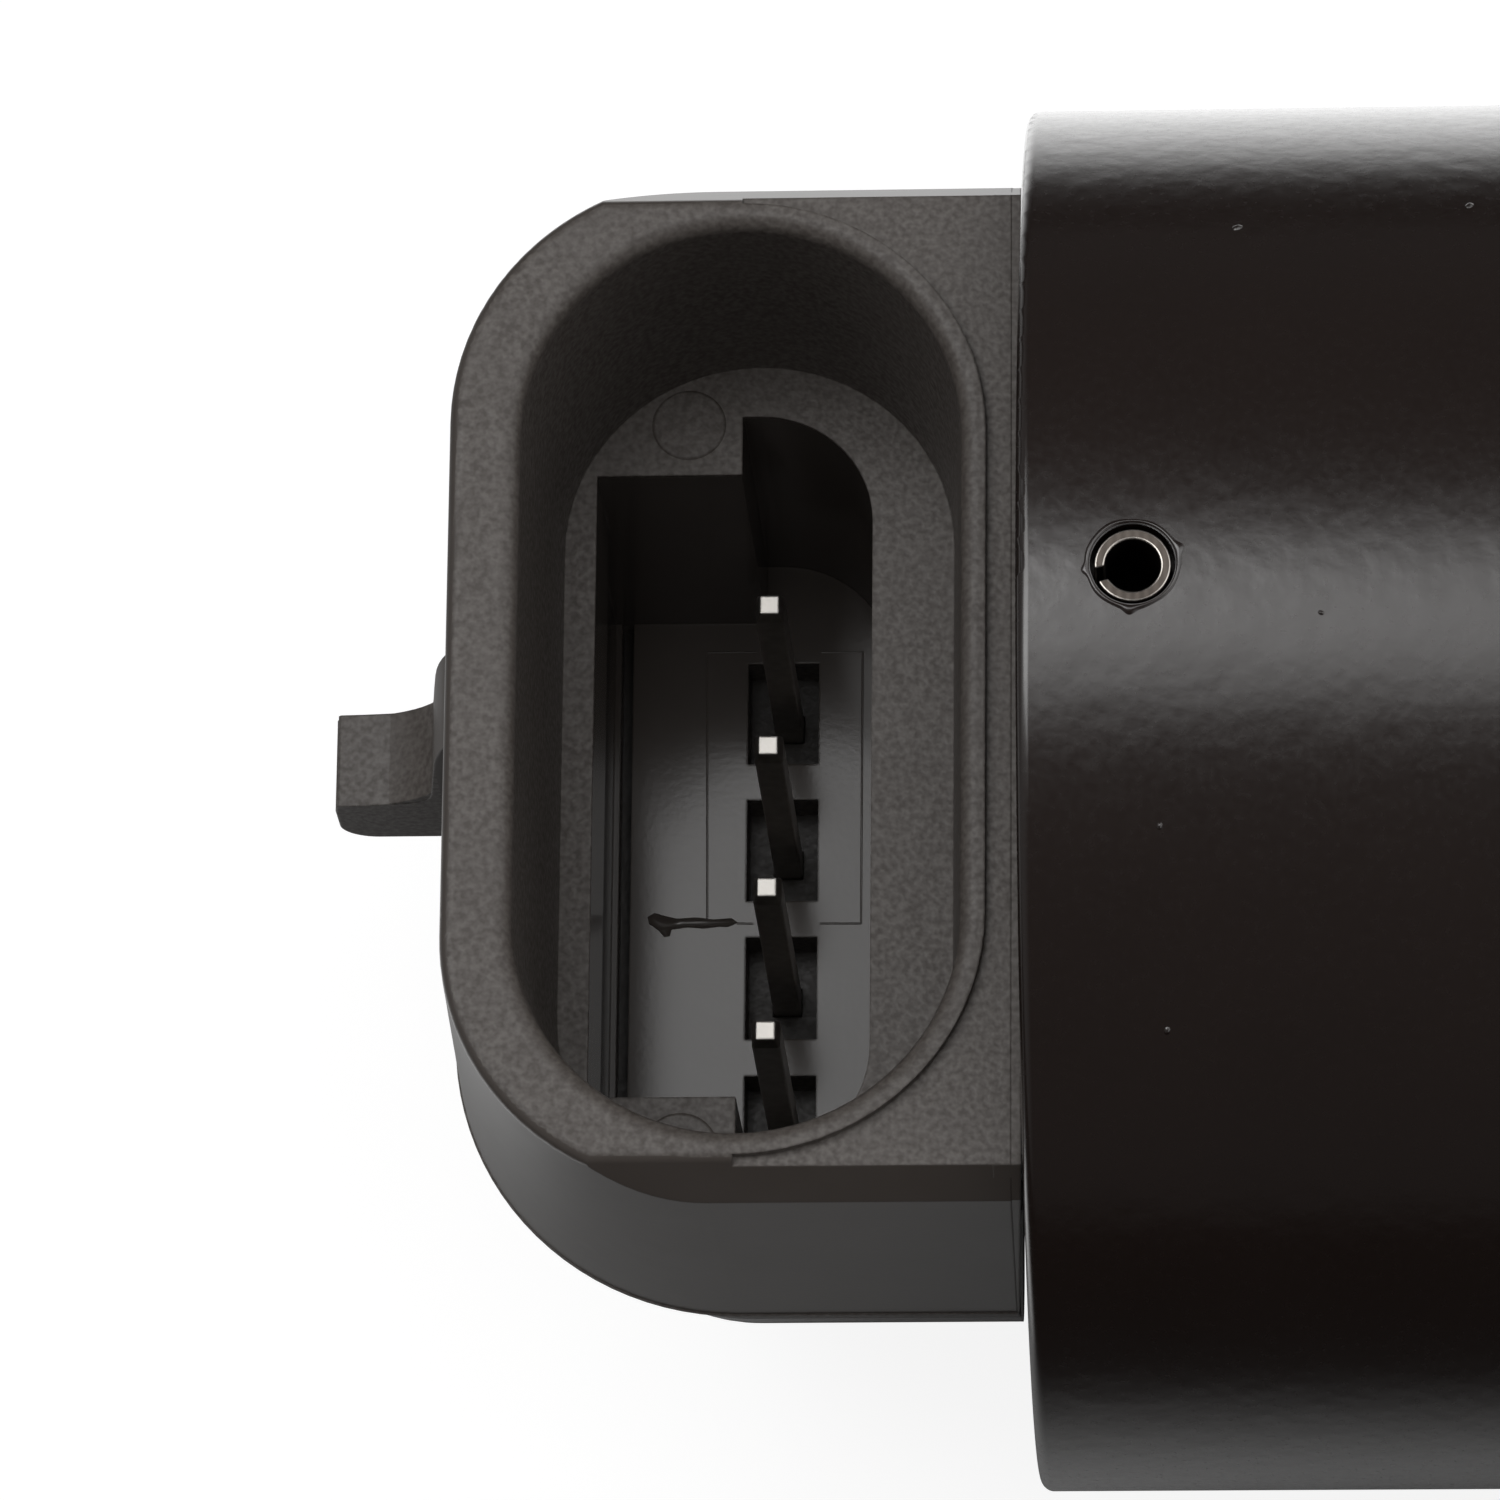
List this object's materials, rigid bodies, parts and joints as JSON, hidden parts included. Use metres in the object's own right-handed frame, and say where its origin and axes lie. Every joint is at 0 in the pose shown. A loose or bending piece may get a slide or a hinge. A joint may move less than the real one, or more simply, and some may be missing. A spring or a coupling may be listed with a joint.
{
  "type": "idle air control valve",
  "caption": "Stepper-motor idle air valve: black drawn can with a moulded side-facing plug socket at the rear, bolted flange, sealed pilot and a spring-loaded conical pintle.",
  "frame": {"origin": "on the valve's axis, in the plane of the flange's mounting face, midway between the bolt holes", "axes": "+X along the axis towards the pintle's tip, +Y through the bolt holes, +Z out of the connector's socket"},
  "size_m": [0.1, 0.066, 0.0356],
  "materials": {
    "black_can_paint": "satin black paint",
    "cast_aluminium": "as cast",
    "seal_rubber": "matte",
    "connector_plastic": "matte, fine grain",
    "spring_steel": "bare",
    "stator_steel": "bare sheet",
    "bobbin_plastic": "natural nylon",
    "copper_wire": "enamelled copper",
    "hub_plastic": "natural acetal",
    "ferrite_magnet": "ground ferrite",
    "bearing_steel": "polished",
    "cage_brass": "bare",
    "sintered_bronze": "sintered",
    "guide_plastic": "moulded",
    "turned_steel": "turned",
    "tinned_brass": "tin plated"
  },
  "bodies": {
    "body": {"motor_can": "black_can_paint", "mounting_flange": "cast_aluminium", "flange_oring": "seal_rubber", "rear_seal": "seal_rubber", "connector_housing": "connector_plastic", "spring_pin": "spring_steel", "spring_washer": "spring_steel", "pintle_spring": "spring_steel", "front_stator_cup": "stator_steel", "front_stator_plate": "stator_steel", "rear_stator_cup": "stator_steel", "rear_stator_plate": "stator_steel", "front_bobbin": "bobbin_plastic", "rear_bobbin": "bobbin_plastic", "front_winding": "copper_wire", "rear_winding": "copper_wire", "bearing_outer_race": "bearing_steel", "rear_bush": "sintered_bronze", "shaft_guide": "guide_plastic", "terminal_1": "tinned_brass", "terminal_2": "tinned_brass", "terminal_3": "tinned_brass", "terminal_4": "tinned_brass"},
    "rotor": {"rotor_hub": "hub_plastic", "rotor_magnet": "ferrite_magnet", "bearing_inner_race": "bearing_steel"},
    "ball_set": {"bearing_balls": "bearing_steel", "ball_cage": "cage_brass"},
    "pintle_unit": {"lead_screw": "turned_steel", "pintle": "turned_steel"}
  },
  "joints": [
    {"name": "rotor_spin", "type": "hinge", "parent": "body", "child": "rotor", "pos_m": [0, 0, 0], "axis": [1, 0, 0], "range_deg": [-2881, 0]},
    {"name": "pintle_slide", "type": "slide", "parent": "body", "child": "pintle_unit", "axis": [1, 0, 0], "range_m": [-0.008, 0], "deforming": ["pintle_spring"]},
    {"name": "ball_spin", "type": "hinge", "parent": "body", "child": "ball_set", "pos_m": [-0.005, 0, 0], "axis": [1, 0, 0], "range_deg": [-1177, 0]}
  ],
  "couplings": [
    {"joint": "rotor_spin", "follows": "pintle_slide", "rad_per_m": 6283.2},
    {"joint": "ball_spin", "follows": "pintle_slide", "rad_per_m": 2565.4}
  ]
}
